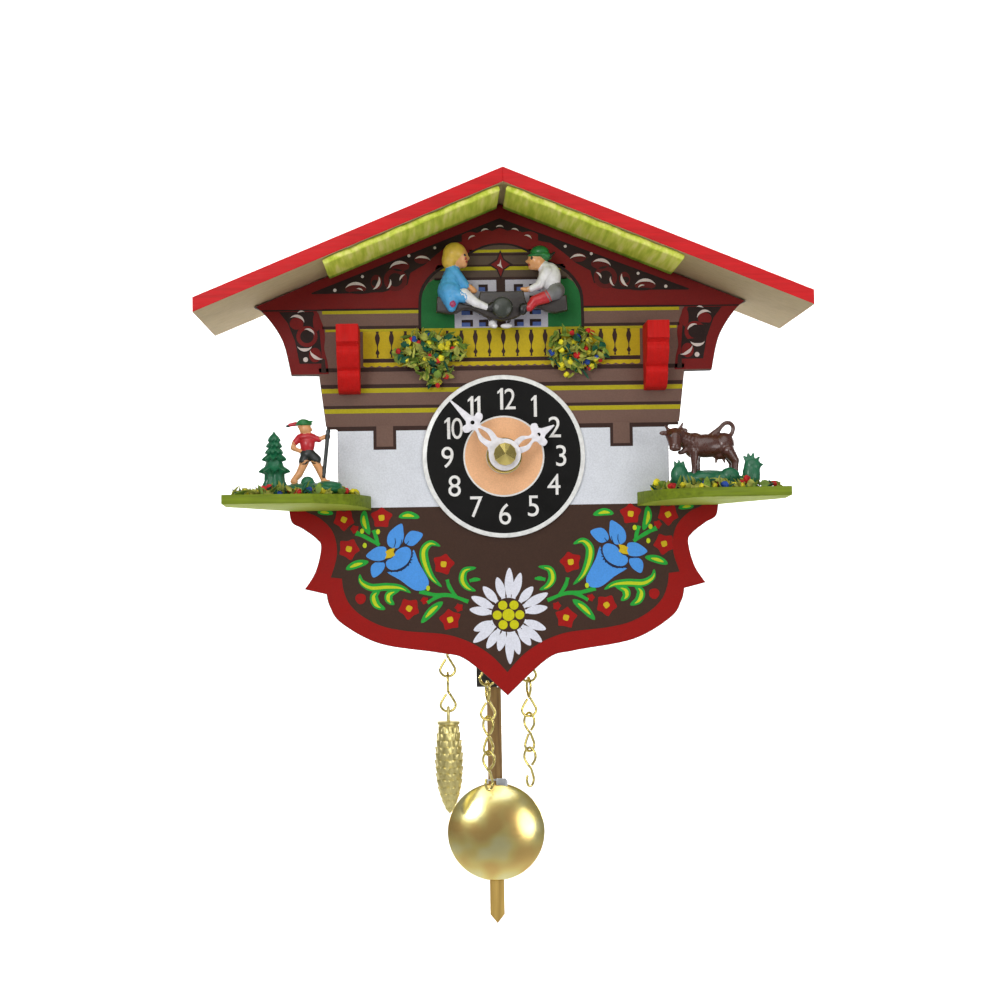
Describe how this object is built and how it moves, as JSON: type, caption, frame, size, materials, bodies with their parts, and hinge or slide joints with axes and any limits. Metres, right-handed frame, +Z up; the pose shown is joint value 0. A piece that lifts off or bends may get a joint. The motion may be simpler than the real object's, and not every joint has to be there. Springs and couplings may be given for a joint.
{
  "type": "chalet wall clock",
  "caption": "Small wall clock shaped as an alpine chalet, with a printed front, pendulum, rocking see-saw, side shelves with figures, chains and a cone weight.",
  "frame": {"origin": "point of the back panel that lies on the wall, on the centre line, 36 mm above the dial centre", "axes": "+X to the right of someone facing the clock, +Y from the front into the wall, +Z up"},
  "size_m": [0.145, 0.046, 0.1828],
  "materials": {
    "printed_board": "paper print on plywood, satin varnish",
    "plain_wood": "bare plywood",
    "red_wood": "red stain, satin",
    "green_wood": "green stain",
    "foliage": "chopped dried grass and flower chips",
    "dark_plastic": "dark brown moulded plastic",
    "dial_plastic": "printed black and peach on white",
    "white_plastic": "white",
    "black_plastic": "black",
    "movement_plastic": "dark grey moulded",
    "wheel_plastic": "natural acetal",
    "polished_brass": "polished",
    "chain_brass": "bright wire",
    "cast_brass": "cast, satin gold",
    "rod_wood": "brown stained strip with pale edges",
    "steel": "plain",
    "copper": "enamelled copper winding",
    "circuit_green": "green board",
    "painted_figure": "hand-painted miniature plastic",
    "cow_brown": "glossy brown miniature plastic",
    "cell_label": "plain printed sleeve"
  },
  "bodies": {
    "case": {"facade_board": "printed_board", "side_wall_left": "plain_wood", "side_wall_right": "plain_wood", "floor_board": "plain_wood", "back_panel": "plain_wood", "hanger_plate": "steel", "roof_board_left": "red_wood", "roof_board_right": "red_wood", "eave_trim_left": "green_wood", "eave_trim_right": "green_wood", "corbel_left": "red_wood", "corbel_right": "red_wood", "shelf_left": "green_wood", "shelf_right": "green_wood", "flowers_left": "foliage", "flowers_right": "foliage", "hiker": "painted_figure", "fir_tree": "foliage", "cow": "cow_brown", "dial": "dial_plastic", "fixing_nut": "polished_brass", "screw_eye_left": "chain_brass", "screw_eye_centre": "chain_brass", "screw_eye_right": "chain_brass", "movement_case": "movement_plastic", "movement_cover": "movement_plastic", "stator": "steel", "drive_coil": "copper", "circuit_board": "circuit_green", "battery": "cell_label", "contact_plus": "steel", "contact_minus": "steel"},
    "minute_work": {"minute_hand": "white_plastic", "hand_nut": "polished_brass", "minute_arbor": "wheel_plastic"},
    "hour_work": {"hour_hand": "white_plastic", "hour_wheel": "wheel_plastic"},
    "motion_work": {"motion_wheel": "wheel_plastic"},
    "set_knob": {"set_knob": "black_plastic"},
    "rotor": {"rotor": "steel"},
    "first_wheel": {"first_wheel": "wheel_plastic"},
    "centre_wheel": {"centre_wheel": "wheel_plastic"},
    "pendulum": {"pendulum_hanger": "black_plastic", "pendulum_rod": "rod_wood", "pendulum_bob": "polished_brass"},
    "seesaw": {"seesaw_beam": "dark_plastic", "seesaw_axle": "steel", "rider_left": "painted_figure", "rider_right": "painted_figure"},
    "chain_left_1": {"chain_left_link_1": "chain_brass"},
    "chain_left_2": {"chain_left_link_2": "chain_brass"},
    "cone_weight": {"cone_weight": "cast_brass"},
    "chain_centre_1": {"chain_centre_link_1": "chain_brass"},
    "chain_centre_2": {"chain_centre_link_2": "chain_brass"},
    "chain_centre_3": {"chain_centre_link_3": "chain_brass"},
    "chain_centre_4": {"chain_centre_link_4": "chain_brass"},
    "chain_right_1": {"chain_right_link_1": "chain_brass"},
    "chain_right_2": {"chain_right_link_2": "chain_brass"},
    "chain_right_3": {"chain_right_link_3": "chain_brass"},
    "chain_right_4": {"chain_right_link_4": "chain_brass"}
  },
  "joints": [
    {"name": "minute_turn", "type": "hinge", "parent": "case", "child": "minute_work", "pos_m": [0, -0.02, -0.036], "axis": [0, 1, 0], "continuous": true},
    {"name": "hour_turn", "type": "hinge", "parent": "case", "child": "hour_work", "pos_m": [0, -0.02, -0.036], "axis": [0, 1, 0], "continuous": true},
    {"name": "motion_turn", "type": "hinge", "parent": "case", "child": "motion_work", "pos_m": [-0.00728, -0.0134, -0.0402], "axis": [0, 1, 0], "continuous": true},
    {"name": "knob_turn", "type": "hinge", "parent": "case", "child": "set_knob", "pos_m": [-0.01517, -0.0134, -0.04307], "axis": [0, 1, 0], "continuous": true},
    {"name": "rotor_turn", "type": "hinge", "parent": "case", "child": "rotor", "pos_m": [-0.01025, -0.012, -0.02212], "axis": [0, 1, 0], "continuous": true},
    {"name": "first_wheel_turn", "type": "hinge", "parent": "case", "child": "first_wheel", "pos_m": [-0.00495, -0.012, -0.02743], "axis": [0, 1, 0], "continuous": true},
    {"name": "centre_wheel_turn", "type": "hinge", "parent": "case", "child": "centre_wheel", "pos_m": [0, -0.0116, -0.036], "axis": [0, 1, 0], "continuous": true},
    {"name": "pendulum_swing", "type": "hinge", "parent": "case", "child": "pendulum", "pos_m": [-0.003, -0.005, -0.012], "axis": [0, 1, 0], "range_deg": [-5, 5]},
    {"name": "seesaw_rock", "type": "hinge", "parent": "case", "child": "seesaw", "pos_m": [0, -0.02, -0.0002], "axis": [0, 1, 0], "range_deg": [-9.6, 9.6]},
    {"name": "chain_left_swing_1", "type": "hinge", "parent": "case", "child": "chain_left_1", "pos_m": [-0.0146, -0.0145, -0.08075], "axis": [0, 1, 0], "range_deg": [-3, 15]},
    {"name": "chain_left_swing_2", "type": "hinge", "parent": "chain_left_1", "child": "chain_left_2", "pos_m": [-0.0146, -0.0145, -0.08975], "axis": [1, 0, 0], "range_deg": [-15, 5]},
    {"name": "cone_weight_swing", "type": "hinge", "parent": "chain_left_2", "child": "cone_weight", "pos_m": [-0.0146, -0.0145, -0.09795], "axis": [0, 1, 0], "range_deg": [-4, 10]},
    {"name": "chain_centre_swing_1", "type": "hinge", "parent": "case", "child": "chain_centre_1", "pos_m": [-0.0048, -0.0145, -0.08305], "axis": [0, 1, 0], "range_deg": [-3, 3]},
    {"name": "chain_centre_swing_2", "type": "hinge", "parent": "chain_centre_1", "child": "chain_centre_2", "pos_m": [-0.0048, -0.0145, -0.09205], "axis": [1, 0, 0], "range_deg": [-15, 5]},
    {"name": "chain_centre_swing_3", "type": "hinge", "parent": "chain_centre_2", "child": "chain_centre_3", "pos_m": [-0.0048, -0.0145, -0.10025], "axis": [0, 1, 0], "range_deg": [-4, 4]},
    {"name": "chain_centre_swing_4", "type": "hinge", "parent": "chain_centre_3", "child": "chain_centre_4", "pos_m": [-0.0048, -0.0145, -0.10925], "axis": [1, 0, 0], "range_deg": [-15, 5]},
    {"name": "chain_right_swing_1", "type": "hinge", "parent": "case", "child": "chain_right_1", "pos_m": [0.0054, -0.0145, -0.08235], "axis": [0, 1, 0], "range_deg": [-15, 3]},
    {"name": "chain_right_swing_2", "type": "hinge", "parent": "chain_right_1", "child": "chain_right_2", "pos_m": [0.0054, -0.0145, -0.09135], "axis": [1, 0, 0], "range_deg": [-15, 5]},
    {"name": "chain_right_swing_3", "type": "hinge", "parent": "chain_right_2", "child": "chain_right_3", "pos_m": [0.0054, -0.0145, -0.09955], "axis": [0, 1, 0], "range_deg": [-10, 4]},
    {"name": "chain_right_swing_4", "type": "hinge", "parent": "chain_right_3", "child": "chain_right_4", "pos_m": [0.0054, -0.0145, -0.10855], "axis": [1, 0, 0], "range_deg": [-15, 5]}
  ],
  "couplings": [
    {"joint": "hour_turn", "follows": "minute_turn", "ratio": 0.083333},
    {"joint": "motion_turn", "follows": "minute_turn", "ratio": -0.33333},
    {"joint": "knob_turn", "follows": "minute_turn", "ratio": 1},
    {"joint": "first_wheel_turn", "follows": "rotor_turn", "ratio": -0.11111},
    {"joint": "centre_wheel_turn", "follows": "rotor_turn", "ratio": 0.011111},
    {"joint": "seesaw_rock", "follows": "pendulum_swing", "ratio": -1.8989}
  ]
}
